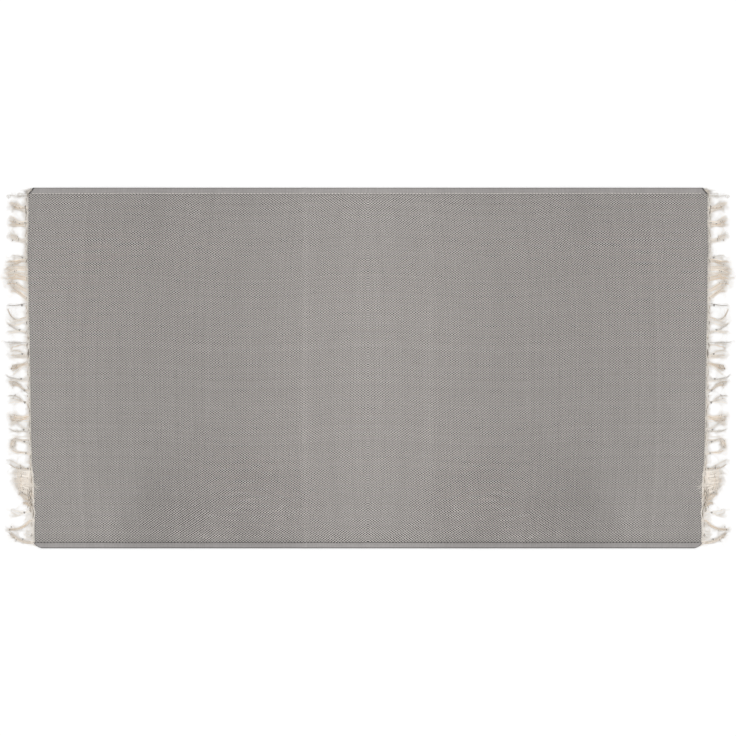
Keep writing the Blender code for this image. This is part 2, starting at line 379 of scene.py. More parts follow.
# lightness of the face: fading, painted light and shade of rises and folds, painted shade on edges and lower
# groove
def faceToneAndShade(x, y, inset, fromEnd):
    tone = 1 + softPlaces(lightPlaces, np.abs(x), y) + softPlaces(darkSpots, x, y)
    # painted highlight along the crests of the pressed folds
    for side, lift in ((-1, pressedFold["leftHighlight"]), (1, pressedFold["rightHighlight"])):
        tone += lift * np.exp(-foldOffset(x, y, side) ** 2)
    lower = y < 0
    # painted shade on the rounded long edges, stronger on the lower one
    rim = np.clip(edgeShade["rimFade"] - inset / edgeShade["rimWidth"], 0, 1)
    tone *= 1 - rim * np.where(lower, edgeShade["lowerRimShade"], edgeShade["upperRimShade"])
    cutEnd = np.clip(edgeShade["cutEndFade"] - fromEnd / edgeShade["cutEndWidth"], 0, 1)
    tone *= 1 - edgeShade["cutEnd"] * cutEnd
    # painted shade in the groove inside the lower hem
    fromGroove = np.abs(inset - cloth["lowerHem"] - edgeShade["grooveShift"])
    groove = np.clip(1 - fromGroove / edgeShade["grooveWidth"], 0, 1)
    return tone * (1 - edgeShade["groove"] * groove * lower)


def hemPath(width):  # centreline of the folded cloth, from the flat part out and back: inset and height
    half = cloth["thickness"] / 2
    rise = cloth["hemRise"]
    outer, inner = rise / 2 - half, cloth["innerFold"]  # radii of the two folds
    path = [(width + step * mm, half) for step in cloth["hemRows"]]
    path += [(inset * mm, half) for inset in (8, 5, 3)]
    for turn in np.radians(np.arange(-90, 91, 22.5)):
        path.append((outer + half - outer * math.cos(turn), rise / 2 + outer * math.sin(turn)))
    path += [(2.4 * mm, rise - half), (3.5 * mm, rise - half), (7 * mm, rise - half - 0.05 * mm)]
    path += [(width - 3.4 * mm, rise - 0.62 * mm), (width - 1.6 * mm, rise - 0.66 * mm)]
    foldHeight = rise - 0.72 * mm - inner
    for turn in np.radians(np.arange(90, -91, -30)):
        path.append((width - half - inner + inner * math.cos(turn), foldHeight + inner * math.sin(turn)))
    path += [(width - 3.4 * mm, foldHeight - inner), (width - cloth["hemTuck"], foldHeight - inner)]
    return path


def clothPath():  # across the towel, from the tucked edge of the lower hem to that of the upper one
    half = cloth["halfWidth"]
    lower = [(inset - half, height) for inset, height in hemPath(cloth["lowerHem"])][::-1]
    upper = [(half - inset, height) for inset, height in hemPath(cloth["upperHem"])]
    flat = np.linspace(lower[-1][0], upper[0][0], cloth["rows"] + 1)[1:-1]
    return np.array(lower + [(y, cloth["thickness"] / 2) for y in flat] + upper)


def stationShares():  # places along the half towel, closer together at the pressed fold and at the end
    reach = cloth["flatLength"] / 2
    fold = pressedFold["place"]
    even = np.linspace(0, reach - cloth["endClear"], cloth["stations"] // 2)
    even = even[np.abs(even - fold) > cloth["foldClear"]]
    atFold = fold + np.array(cloth["foldStations"]) * mm
    atEnd = reach - np.array(cloth["endStations"]) * mm
    return np.sort(np.concatenate([even, atFold, atEnd])) / reach


def meshObject(name, vertices, faces, material, attributes=None):
    mesh = bpy.data.meshes.new(name)
    mesh.from_pydata([tuple(v) for v in vertices], [], faces)
    mesh.materials.append(material)
    for key, values in (attributes or {}).items():
        layer = mesh.attributes.new(key, "FLOAT", "POINT")
        layer.data.foreach_set("value", np.asarray(values, np.float32).ravel())
    mesh.shade_smooth()
    mesh.update()
    thing = bpy.data.objects.new(name, mesh)
    bpy.context.scene.collection.objects.link(thing)
    return thing


def makeCloth():
    path = clothPath()
    ahead = np.gradient(path, axis=0)
    normal = np.stack([-ahead[:, 1], ahead[:, 0]], 1)
    normal /= np.linalg.norm(normal, axis=1)[:, None]
    half = cloth["thickness"] / 2
    ring = np.concatenate([path + normal * half, (path - normal * half)[::-1]])
    shares = stationShares()
    shares = np.concatenate([-shares[:0:-1], shares])
    count, wide = len(ring), len(shares)
    y = np.repeat(ring[None, :, 0], wide, 0)
    z = np.repeat(ring[None, :, 1], wide, 0)
    u = np.repeat(shares[:, None], count, 1)
    x = u * clothReach(y)
    inset = cloth["halfWidth"] - np.abs(y)
    hemWidth = np.where(y > 0, cloth["upperHem"], cloth["lowerHem"])
    hem = np.clip((hemWidth - inset) / cloth["hemBlend"], 0, 1)
    drift = 2 * np.sin(x / cloth["puckerDrift"])
    pucker = cloth["pucker"] * np.sin(x / cloth["puckerLength"] + drift) * hem
    fromEnd = clothReach(y) - np.abs(x)
    # the upper hem's folded layers get painted shadow near the cut ends, where the fold opens
    folded = (y > 0) * (z > cloth["hemTop"]) * hem
    hemEndShadow = np.clip(cloth["hemEndShadowFade"] - fromEnd / cloth["hemEndShadowWidth"], 0, 1) * folded
    z = z + liftAt(x, y) + pucker * np.clip(z / cloth["hemRise"], 0, 1)
    vertices = np.stack([x, y, z], 2).reshape(-1, 3)
    faces = []
    for station in range(wide - 1):
        for k in range(count):
            after = (k + 1) % count
            faces.append((station * count + k, station * count + after,
                          (station + 1) * count + after, (station + 1) * count + k))
    last = (wide - 1) * count
    for k in range(count // 2 - 1):
        other = count - 1 - k
        faces.append((k, other, other - 1, k + 1))
        faces.append((last + k, last + k + 1, last + other - 1, last + other))
    return meshObject("woven_cloth", vertices, faces, clothFinish, {
        "hem": hem, "hemEndShadow": hemEndShadow, "faceToneAndShade": faceToneAndShade(x, y, inset, fromEnd),
        "firstLines": weave["lines"] * (weave["firstLines"] + softPlaces(firstPlaces, np.abs(x), y)),
        "secondLines": weave["lines"] * (1 + softPlaces(secondPlaces, np.abs(x), y))})


wovenCloth = makeCloth()
print("towel: the cloth is woven and hemmed,", len(wovenCloth.data.polygons), "faces")


# Geometry Nodes: a tree with named inputs, run on a mesh and made a plain mesh again

class Tree:
    def __init__(self, name, numbers):
        self.tree = bpy.data.node_groups.new(name, "GeometryNodeTree")
        face = self.tree.interface
        face.new_socket("Geometry", in_out="INPUT", socket_type="NodeSocketGeometry")
        face.new_socket("Geometry", in_out="OUTPUT", socket_type="NodeSocketGeometry")
        for key, value in numbers.items():
            kind = "NodeSocketInt" if isinstance(value, int) else "NodeSocketFloat"
            face.new_socket(key, in_out="INPUT", socket_type=kind).default_value = value
        self.start = self.tree.nodes.new("NodeGroupInput")
        self.numbers = numbers

    def input(self, name):
        return Wire(self.start.outputs[name])

    def add(self, kind, settings=None, inputs=None):
        return addNode(self.tree, kind, settings, inputs)

    def close(self, geometry, material):
        real = self.add("GeometryNodeRealizeInstances", None, {"Geometry": geometry})
        smooth = self.add("GeometryNodeSetShadeSmooth", None, {"Geometry": real.outputs[0]})
        painted = self.add("GeometryNodeSetMaterial", None,
                           {"Geometry": smooth.outputs[0], "Material": material})
        end = self.tree.nodes.new("NodeGroupOutput")
        self.tree.links.new(painted.outputs[0], end.inputs[0])

    def run(self, source):  # source becomes the tree's result
        modifier = source.modifiers.new("made", "NODES")
        modifier.node_group = self.tree
        for socket in self.tree.interface.items_tree:
            if socket.in_out == "INPUT" and socket.name in self.numbers:
                modifier[socket.identifier] = self.numbers[socket.name]
        bpy.context.view_layer.update()
        graph = bpy.context.evaluated_depsgraph_get()
        mesh = bpy.data.meshes.new_from_object(source.evaluated_get(graph), depsgraph=graph)
        source.modifiers.remove(modifier)
        source.data = mesh
        return source


def yarnTree(name, numbers, material):  # a round yarn along every line of a mesh of edges
    tree = Tree(name, numbers)
    lines = tree.add("GeometryNodeMeshToCurve", None, {"Mesh": tree.start.outputs["Geometry"]})
    width = tree.add("GeometryNodeInputNamedAttribute", {"data_type": "FLOAT"}, {"Name": "yarnWidth"})
    radius = Wire(width.outputs[0]) * 0.5
    ring = tree.add("GeometryNodeCurvePrimitiveCircle", {"mode": "RADIUS"},
                    {"Resolution": tree.input("Sides"), "Radius": 1.0})
    spot = tree.add("GeometryNodeInputPosition")
    marked = tree.add("GeometryNodeStoreNamedAttribute", {"data_type": "FLOAT_VECTOR", "domain": "POINT"},
                      {"Geometry": ring.outputs[0], "Name": "ringPlace", "Value": spot.outputs[0]})
    swept = tree.add("GeometryNodeCurveToMesh", None,
                     {"Curve": lines.outputs[0], "Profile Curve": marked.outputs[0],
                      "Scale": radius, "Fill Caps": True})
    tree.close(swept.outputs[0], material)
    return tree


# Hem stitches: short arches of thread at an even pitch along a line

stitching = {
    "upper": {"inset": 14.4 * mm, "pitch": 8.1 * mm, "length": 5.6 * mm, "width": 1.05 * mm,
              "reach": 836 * mm},
    "lower": {"inset": 13.9 * mm, "pitch": 8.1 * mm, "length": 6.0 * mm, "width": 1.30 * mm,
              "reach": 832 * mm},
    "ends": -0.35 * mm,  # height of a stitch's ends over the line, then of the point that it bends towards
    "top": 0.95 * mm,
    "steps": 6,
    "sides": 7,
    "turns": (0, 0.04, 0.07),  # how far stitches are turned off the line
    "sizes": (0.88, 1.1),
    "seed": 5,
    "lineStep": 9 * mm,
    "sink": 0.30 * mm,  # how far the line lies below the hem's top
    "sway": 0.25 * mm,
    "swayLength": 31 * mm,
    "lightColour": (0.73, 0.69, 0.64),
    "darkColour": (0.092, 0.085, 0.080),
    "plyAlong": 1.8 * mm,  # one turn of the thread's ply
    "plyAcross": 1.2 * mm,
    "fibres": 1100,  # so many a metre
    "depth": 0.1 * mm,
}


def paintThread(colour):
    def paint(tree):
        place = addNode(tree, "ShaderNodeTexCoord").outputs["Object"]
        x, y = separate(place)[:2]
        ply = abs((x * (2 * pi / stitching["plyAlong"]) + y * (2 * pi / stitching["plyAcross"])).sine())
        fibre = noise(place, stitching["fibres"], 2)
        # painted shade in the grooves of the thread's ply, with random fibre tone
        shade = ply * 0.2 + fibre * 0.25 + 0.85
        return scaleColour(colour, shade), ply + fibre * 0.5, stitching["depth"]
    return paint


def stitchTree(name, row, material):
    tree = Tree(name, {"Pitch": row["pitch"], "Length": row["length"], "Width": row["width"],
                       "Seed": stitching["seed"]})
    line = tree.add("GeometryNodeMeshToCurve", None, {"Mesh": tree.start.outputs["Geometry"]})
    spaced = tree.add("GeometryNodeResampleCurve", {"mode": "LENGTH"},
                      {"Curve": line.outputs[0], "Length": tree.input("Pitch")})
    half = tree.input("Length") * 0.5
    arch = tree.add("GeometryNodeCurveQuadraticBezier", None, {
        "Resolution": stitching["steps"], "Middle": (0, 0, stitching["top"]),
        "Start": combine(half * -1, 0.0, stitching["ends"]), "End": combine(half, 0.0, stitching["ends"])})
    ring = tree.add("GeometryNodeCurvePrimitiveCircle", {"mode": "RADIUS"},
                    {"Resolution": stitching["sides"], "Radius": tree.input("Width") * 0.5})
    stitch = tree.add("GeometryNodeCurveToMesh", None,
                      {"Curve": arch.outputs[0], "Profile Curve": ring.outputs[0], "Fill Caps": True})
    seed, smallest, largest = tree.input("Seed"), *stitching["sizes"]
    turn = tree.add("FunctionNodeRandomValue", {"data_type": "FLOAT_VECTOR"},
                    {0: [-turn for turn in stitching["turns"]], 1: stitching["turns"], "Seed": seed})
    size = tree.add("FunctionNodeRandomValue", {"data_type": "FLOAT"},
                    {2: smallest, 3: largest, "Seed": seed + 1})
    spin = tree.add("FunctionNodeEulerToRotation", None, {0: turn.outputs[0]})
    placed = tree.add("GeometryNodeInstanceOnPoints", None, {
        "Points": spaced.outputs[0], "Instance": stitch.outputs[0], "Rotation": spin.outputs[0],
        "Scale": size.outputs[1]})
    tree.close(placed.outputs[0], material)
    return tree


def stitchRow(name, row, side, material):
    x = np.arange(-row["reach"], row["reach"], stitching["lineStep"])
    y = np.full_like(x, side * (cloth["halfWidth"] - row["inset"]))
    y += stitching["sway"] * np.sin(x / stitching["swayLength"] + side)
    z = cloth["hemRise"] - stitching["sink"] + liftAt(x, y)
    line = bpy.data.meshes.new(name)
    line.from_pydata(list(zip(x, y, z)), [(k, k + 1) for k in range(len(x) - 1)], [])
    thing = bpy.data.objects.new(name, line)
    bpy.context.scene.collection.objects.link(thing)
    return stitchTree(name, row, material).run(thing)


lightThread = cotton("light hem thread", paintThread(stitching["lightColour"]))
darkThread = cotton("dark hem thread", paintThread(stitching["darkColour"]))
upperStitches = stitchRow("upper_hem_stitches", stitching["upper"], 1, lightThread)
lowerStitches = stitchRow("lower_hem_stitches", stitching["lower"], -1, darkThread)
print("towel: the hems are stitched,", len(upperStitches.data.polygons), "faces a row")


# The fringes: loose warp yarns past the last weft, drawn together into locks, some with a small knot

fringe = {
    "seed": 7,
    "sides": 4,  # flats round a yarn
    "steps": 12,  # points along a yarn
    "yarnWidth": 0.62 * mm,
    "widths": (0.75, 1.15),  # how yarns differ in width, then in lightness
    "tones": (0.95, 1.04),
    "tipShare": 0.5,  # width of a yarn's tip as a share of its root's
    "yarnShorter": 0.16,  # share by which a yarn may fall short of its strand
    "yarnWave": 0.8 * mm,
    "yarnCurls": 0.12,  # share of yarns whose tips curl alone
    "strandYarns": 6,  # yarns that run together as one strand
    "strandHalf": 0.9 * mm,  # how far they spread from its middle
    "strandTones": (0.86, 1.09),
    "strandWave": 1.6 * mm,  # how far whole strands wander
    "shortest": 0.80,  # share of the reach that the shortest strands have
    "looseWidth": 9 * mm,  # mean width from which a lock is quite loose
    "fill": 0.88,  # share of a lock's width that its strands fill
    "curls": 0.3,  # share of strands whose tips curl
    "curlTurns": (0.4, 1.9),
    "curlFrom": (0.5, 0.75),  # share of the length where a curl starts
    "curlYarns": 8,  # the thinnest locks, up to so many yarns, stay straight
    "stack": 0.020 * mm,  # height that each yarn adds to its lock
    "leastStack": 0.5 * mm,
    "lowest": 0.36 * mm,
    "tuck": 1.5 * mm,  # how far yarns start inside the cloth, and at which height
    "tuckHeight": 0.6 * mm,
    "deepTan": (0.4, 1.0),  # share of tan in tan strands, then in the others of their lock
    "faintTan": (0.05, 0.25),
    "greyYarn": 0.55,  # greyness of a lock's grey yarns, and at most of the others
    "greyCast": 0.08,
    "knotGrowth": 1.1,
    "knotYarn": 1.3 * mm,
    # painted shade in the knots' tight crevices, on top of their grey
    "knotShade": 0.62,
    "knotGreys": (0.3, 0.55),
    "fleckLengths": (2.5, 5),  # in mm
}
stray = {  # single thin fibres along a lock
    "least": 6,
    "share": 0.6,  # more of them for each yarn
    "steps": 8,
    "starts": (0, 0.5),  # share of the lock's length
    "ends": (0.75, 1.06),
    "width": 0.26 * mm,
    "tip": 0.6,
    "past": 1.2 * mm,  # how far they stand out of the lock
    "wave": 3.4 * mm,
    "curl": 3.0,
    "pastHem": 5 * mm,  # none reaches further past the towel's long edges
}
# Locks of one end, from the upper hem down: places along the middle as distance from the towel's middle and
# height across it, widths there, all in mm, then yarns, lightness, share of tan yarns, and grey yarns
lockRows = [
    ([(835, 442), (842, 442), (849, 441), (856, 440)], [12, 12, 12, 11], 26, 0.86, 0.15, 7),
    ([(850, 432), (862, 431), (878, 429), (898, 431)], [6, 4, 4, 4], 6, 0.80, 0.20, 1),
    ([(850, 400), (860, 401), (875, 404), (890, 412), (900, 412)], [8, 6, 12, 18, 18], 32, 0.97, 0.35, 0),
    ([(850, 385), (860, 392), (875, 399), (900, 399)], [10, 8, 8, 12], 22, 0.93, 0.50, 1),
    ([(850, 364), (860, 364), (872, 362), (890, 369), (902, 370)], [12, 8, 12, 20, 18], 36, 0.98, 0.40, 0),
    ([(850, 355), (865, 356), (885, 358), (902, 358)], [8, 6, 10, 12], 22, 0.96, 0.50, 0),
    ([(850, 312), (860, 316), (878, 321), (890, 331), (898, 330)], [12, 6, 8, 8, 8], 14, 0.96, 0.40, 0),
    ([(860, 318), (878, 326), (890, 342)], [5, 5, 8], 12, 0.97, 0.50, 0),
    ([(872, 321), (888, 329), (899, 324)], [5, 10, 10], 10, 0.99, 0.30, 0),
    ([(850, 278), (862, 276), (882, 279), (900, 274)], [10, 5, 6, 9], 9, 0.97, 0.00, 1),
    ([(850, 270), (865, 269), (882, 265), (905, 262)], [10, 8, 12, 18], 26, 1.04, 0.30, 0),
    ([(850, 250), (865, 250), (885, 248), (912, 242)], [12, 11, 20, 28], 46, 1.06, 0.50, 0),
    ([(850, 222), (865, 226), (885, 230), (914, 221)], [15, 11, 18, 25], 46, 1.04, 0.45, 0),
    ([(850, 192), (862, 198), (885, 211), (911, 208)], [12, 9, 15, 12], 30, 1.04, 0.45, 1),
    ([(850, 172), (860, 179), (880, 194), (900, 202)], [15, 9, 11, 8], 28, 1.02, 0.40, 1),
    ([(850, 160), (865, 158), (882, 155), (901, 155)], [10, 4, 4, 5], 7, 0.82, 0.00, 3),
    ([(850, 126), (862, 124), (878, 120), (892, 129), (902, 150)], [8, 5, 3, 3, 4], 10, 0.86, 0.60, 2),
    ([(850, 122), (865, 120), (888, 116), (904, 130)], [10, 8, 8, 8], 11, 0.99, 0.30, 0),
    ([(858, 116), (885, 109), (905, 115)], [2, 8, 8], 7, 1.00, 0.20, 0),
    ([(850, 88), (860, 92), (871, 95), (890, 105), (908, 116)], [15, 8, 4, 4, 5], 7, 0.88, 0.00, 2),
    ([(850, 88), (860, 91), (872, 92), (890, 90), (905, 90)], [15, 8, 5, 10, 12], 13, 1.00, 0.10, 0),
    ([(850, 62), (870, 63), (890, 64), (912, 65)], [10, 3, 3, 4], 6, 0.80, 0.00, 3),
    ([(865, 59), (885, 58), (900, 54)], [4, 10, 12], 13, 0.90, 0.90, 0),
    ([(848, 32), (860, 35), (872, 42), (890, 45), (900, 40)], [10, 4, 5, 8, 8], 9, 0.97, 0.10, 1),
    ([(848, 29), (862, 29), (882, 30), (902, 32)], [12, 8, 10, 10], 22, 1.00, 0.15, 0),
    ([(848, 9), (860, 9), (878, 4), (896, -5)], [12, 6, 15, 18], 30, 0.96, 0.80, 0),
    ([(848, 5), (860, 5), (878, -8), (894, -20)], [10, 4, 5, 6], 10, 1.03, 0.00, 1),
    ([(848, -30), (865, -28), (888, -25), (900, -22), (910, -16)], [10, 3, 4, 4, 4], 7, 0.82, 0.00, 3),
    ([(858, -56), (870, -46), (882, -39), (902, -38)], [5, 5, 14, 18], 24, 0.91, 0.80, 0),
    ([(848, -60), (858, -56), (872, -45), (882, -35)], [12, 4, 4, 5], 7, 0.75, 0.20, 2),
    ([(848, -35), (870, -31), (888, -29), (904, -28)], [8, 4, 5, 8], 8, 0.98, 0.10, 0),
    ([(848, -90), (858, -86), (872, -74), (890, -69), (905, -71)], [12, 4, 4, 5, 6], 9, 0.85, 0.10, 2),
    ([(860, -85), (878, -82), (902, -82)], [5, 12, 18], 15, 1.00, 0.05, 0),
    ([(848, -122), (860, -124), (878, -125), (900, -120)], [15, 10, 20, 22], 46, 0.99, 0.60, 2),
    ([(845, -155), (860, -150), (872, -141), (882, -132)], [10, 8, 10, 10], 15, 0.88, 0.00, 0),
    ([(872, -131), (888, -138), (898, -140)], [10, 10, 8], 13, 0.98, 0.20, 0),
    ([(845, -160), (860, -159), (880, -159), (902, -151)], [10, 5, 5, 6], 10, 0.92, 0.00, 2),
    ([(848, -188), (859, -185), (870, -180), (885, -176), (894, -182)], [10, 4, 5, 10, 10],
     14, 0.97, 0.10, 1),
    ([(882, -180), (889, -190), (888, -202)], [10, 15, 15], 17, 0.98, 0.30, 0),
    ([(842, -215), (858, -212), (872, -211), (888, -205), (898, -198)], [12, 5, 8, 12, 12],
     18, 0.99, 0.10, 0),
    ([(840, -252), (855, -251), (875, -250), (890, -244), (905, -232)], [15, 5, 5, 6, 6], 12, 0.84, 0.70, 2),
    ([(860, -250), (880, -239), (898, -228)], [4, 4, 5], 7, 0.98, 0.10, 0),
    ([(840, -262), (852, -264), (870, -262), (890, -259)], [18, 20, 20, 15], 54, 1.02, 0.00, 0),
    ([(838, -284), (850, -284), (870, -282), (891, -280)], [30, 25, 22, 18], 65, 1.02, 0.04, 0),
    ([(838, -306), (848, -305), (862, -300), (881, -296)], [28, 25, 20, 12], 56, 1.04, 0.12, 1),
    ([(838, -328), (842, -325), (855, -319), (872, -310)], [22, 20, 18, 10], 40, 0.94, 0.85, 3),
    ([(838, -346), (841, -345), (850, -338), (862, -329)], [15, 12, 11, 8], 22, 0.94, 0.80, 3),
    ([(850, -359), (859, -362), (875, -368), (892, -364), (901, -354)], [8, 4, 6, 8, 5], 9, 0.98, 0.00, 0),
    ([(860, -360), (875, -359), (890, -354)], [4, 4, 5], 6, 0.98, 0.00, 0),
    ([(845, -382), (858, -395), (872, -402), (888, -404), (906, -402)], [8, 6, 5, 6, 8], 28, 0.93, 0.12, 1),
    ([(842, -437), (860, -434), (878, -426), (890, -416), (902, -406)], [8, 9, 8, 8, 6], 42, 0.95, 0.20, 1),
]
# Small knots, in mm: distance from the towel's middle, height across it, size
knotRows = [
    (871, 361, 3.6), (857, 363, 3.4), (857, 403, 3.0), (855, 388, 3.2), (864, 276, 3.4), (865, 157, 4.6),
    (871, 95, 4.4), (864, 35, 3.6), (867, -27, 3.6), (859, -56, 4.6), (858, -86, 4.6), (861, -154, 3.4),
    (859, -184, 3.8), (855, -213, 3.4), (868, -250, 3.8), (850, -251, 3.6), (859, -361, 4.2),
    (863, -428, 3.8),
]
# Yarns that lie across the fan, the felt and the ring, in the same columns as the locks
fillRows = [
    ([(874, 243), (888, 240), (906, 234)], [20, 34, 40], 40, 0.98, 0.60, 0),
    ([(868, 262), (884, 256), (902, 252)], [8, 16, 22], 14, 0.98, 0.30, 0),
    ([(861, -252), (863, -275), (858, -300), (848, -322)], [40, 40, 32, 16], 60, 1.02, 0.15, 0),
    ([(846, -252), (848, -275), (845, -300), (842, -318)], [14, 16, 14, 10], 24, 0.96, 0.20, 2),
    ([(880, -172), (890, -186), (886, -204)], [12, 17, 14], 10, 1.00, 0.10, 0),
]
# Brown flecks in the locks: distance from the towel's middle, height across it, half sizes, all in mm,
# and their number
fleckPlaces = [
    (872, 402, 11, 4, 5), (882, 366, 8, 4, 4), (880, 322, 9, 7, 6), (884, 250, 6, 10, 3), (886, 212, 9, 8, 5),
    (884, 2, 8, 6, 6), (886, -42, 8, 8, 5), (884, -70, 10, 6, 5), (885, -125, 8, 8, 5), (887, -190, 6, 10, 4),
    (866, -300, 10, 18, 8), (892, -400, 7, 4, 4), (880, -428, 8, 5, 5),
]


class YarnLines:  # lines of points for the yarn tree, with the width, tone and length of each
    def __init__(self):
        self.places, self.edges = [], []
        self.numbers = {"yarnWidth": [], "tone": [], "grey": [], "tan": [], "along": []}

    def add(self, points, width, tone, grey=0.0, tan=0.0, closed=False):
        start, count = len(self.places), len(points)
        self.places += [tuple(point) for point in points]
        self.edges += [(start + k, start + k + 1) for k in range(count - 1)]
        if closed:
            self.edges.append((start + count - 1, start))
        steps = np.linalg.norm(np.diff(points, axis=0), axis=1)
        self.numbers["along"] += list(np.concatenate([[0], np.cumsum(steps)]))
        for key, value in (("yarnWidth", width), ("tone", tone), ("grey", grey), ("tan", tan)):
            self.numbers[key] += list(np.broadcast_to(value, count))

    def asObject(self, name, side):
        mesh = bpy.data.meshes.new(name)
        widths = self.numbers["yarnWidth"]  # a yarn's middle stays over half its width above the floor
        places = [(side * x, y, max(z, 0.55 * width)) for (x, y, z), width in zip(self.places, widths)]
        mesh.from_pydata(places, self.edges, [])
        for key, values in self.numbers.items():
            layer = mesh.attributes.new(key, "FLOAT", "POINT")
            layer.data.foreach_set("value", np.asarray(values, np.float32))
        thing = bpy.data.objects.new(name, mesh)
        bpy.context.scene.collection.objects.link(thing)
        return thing


def softLine(places, t):  # a soft curve: its points and sideways at shares t, and the share at each place
    lengths = np.concatenate([[0], np.cumsum(np.linalg.norm(np.diff(places, axis=0), axis=1))])
    share = lengths / lengths[-1]
    slope = np.gradient(places, share, axis=0)
    k = np.clip(np.searchsorted(share, t, side="right") - 1, 0, len(places) - 2)
    step = (share[k + 1] - share[k])[:, None]
    u = (t - share[k])[:, None] / step
    points = places[k] * (1 + 2 * u) * (1 - u) ** 2 + slope[k] * step * u * (1 - u) ** 2
    points += places[k + 1] * u * u * (3 - 2 * u) + slope[k + 1] * step * u * u * (u - 1)
    heading = np.gradient(points, axis=0)
    heading /= np.linalg.norm(heading, axis=1)[:, None]
    return points, np.stack([-heading[:, 1], heading[:, 0]], 1), share


def alongLock(places, widths, t):  # a lock's middle line, its sideways and its half width at shares t
    middle, across, share = softLine(places, t)
    return middle, across, np.interp(t, share, widths) / 2


def wander(t, size, dice):  # a smooth sideways wave that grows from nothing
    cycles, start = dice.uniform(0.5, 1.7), dice.uniform(0, 2 * pi)
    return size * (np.sin(2 * pi * cycles * t + start) - math.sin(start)) * np.sqrt(t)


def curlTip(flat, bendFrom, turn):  # turns the rest of a line a little more at each point
    for k in range(bendFrom + 1, len(flat)):
        angle = turn / (len(flat) - bendFrom)
        rest = flat[k:] - flat[k - 1]
        spin = np.array([[math.cos(angle), math.sin(angle)], [-math.sin(angle), math.cos(angle)]])
        flat[k:] = flat[k - 1] + rest @ spin


def layLock(lines, row, dice):
    places, widths, yarns, lightness, tanShare, greyYarns = row
    places, widths = np.array(places) * mm, np.array(widths) * mm
    loose = np.clip(widths.mean() / fringe["looseWidth"], 0.3, 1)  # narrow locks hold together
    strands = max(1, round(yarns / fringe["strandYarns"]))
    order, strandSeeds = dice.permutation(strands), dice.integers(0, 2 ** 31, strands)
    stack = fringe["leastStack"] + yarns * fringe["stack"]
    steps = np.linspace(0, 1, fringe["steps"])
    for number in range(yarns):
        strand = number % strands
        own = np.random.default_rng(strandSeeds[strand])  # what the yarns of a strand share
        centre = (order[strand] + own.uniform(0.1, 0.9)) / strands * 2 - 1
        reach = 1 - (1 - fringe["shortest"]) * own.random() * loose
        bent, lift = own.random() < fringe["curls"] * loose, own.random()
        tone = lightness * own.uniform(*fringe["strandTones"])
        if own.random() < tanShare:
            tan = own.uniform(*fringe["deepTan"])
        else:
            tan = (tanShare > 0) * own.uniform(*fringe["faintTan"])
        t = steps * reach * (1 - fringe["yarnShorter"] * loose * dice.random() ** 2)
        middle, across, halfWidth = alongLock(places, widths, t)
        spread = np.minimum(fringe["strandHalf"] * (0.35 + 0.65 * t), 0.5 * halfWidth + 0.4 * mm)
        side = centre * fringe["fill"] * halfWidth + dice.uniform(-1, 1) * spread
        side += wander(t, loose * fringe["strandWave"] * own.uniform(0.2, 1), own)
        side += wander(t, loose * fringe["yarnWave"] * dice.random(), dice)
        flat = middle + across * side[:, None]
        turn = own.choice([-1, 1]) * own.uniform(*fringe["curlTurns"]) * (yarns > fringe["curlYarns"])
        if bent or dice.random() < fringe["yarnCurls"] * loose:
            bendFrom = int(fringe["steps"] * own.uniform(*fringe["curlFrom"]))
            curlTip(flat, bendFrom, turn * dice.uniform(0.5, 1.3))
        arch = lift * np.sin(pi * np.clip(0.12 + 0.80 * t, 0, 1))
        height = fringe["lowest"] + stack * (0.15 + 0.85 * arch)
        height += dice.uniform(0, 0.5) * mm * np.sin(pi * np.clip(t, 0, 1))
        rootX, rootY = flat[0]
        inner = [min(clothReach(rootY), rootX) - fringe["tuck"], rootY + 0.3 * (rootY - middle[0, 1])]
        heights = np.concatenate([[fringe["tuckHeight"]], height])
        points = np.column_stack([np.vstack([inner, flat]), heights])
        taper = np.interp(np.linspace(0, 1, len(points)), [0, 0.55, 1], [1, 1, fringe["tipShare"]])
        grey = fringe["greyYarn"] if number < greyYarns else fringe["greyCast"] * dice.random() ** 3
        lines.add(points, fringe["yarnWidth"] * dice.uniform(*fringe["widths"]) * taper,
                  tone * dice.uniform(*fringe["tones"]), grey, tan)
    for _ in range(stray["least"] + int(yarns * stray["share"])):
        t = np.linspace(dice.uniform(*stray["starts"]), dice.uniform(*stray["ends"]), stray["steps"])
        middle, across, halfWidth = alongLock(places, widths, t)
        side = dice.uniform(-1, 1) * (halfWidth + stray["past"])
        side = side + wander(t, stray["wave"] * dice.random(), dice)
        flat = middle + across * side[:, None]
        curlTip(flat, dice.integers(1, 5), dice.uniform(-stray["curl"], stray["curl"]))
        if np.abs(flat[:, 1]).max() > cloth["halfWidth"] + stray["pastHem"]:
            continue
        points = np.column_stack([flat, (0.3 + stack / mm * dice.random() + 0.8 * t) * mm])
        taper = np.linspace(1, stray["tip"], stray["steps"])
        lines.add(points, stray["width"] * taper, lightness, 0, 0.2 * dice.random())


def knotLine(x, y, size):  # an overhand knot pulled tight
    turn = np.linspace(0, 2 * pi, 33, endpoint=False)
    ring = np.stack([np.sin(turn) + 2 * np.sin(2 * turn), np.cos(turn) - 2 * np.cos(2 * turn),
                     -np.sin(3 * turn)], 1)
    ring *= size / 6
    ring[:, 2] *= 0.7
    ring[:, 2] += 0.8 - ring[:, 2].min()
    return ring * mm + [x * mm, y * mm, 0]


# The fluff: what lies loose on the bare band and in the locks

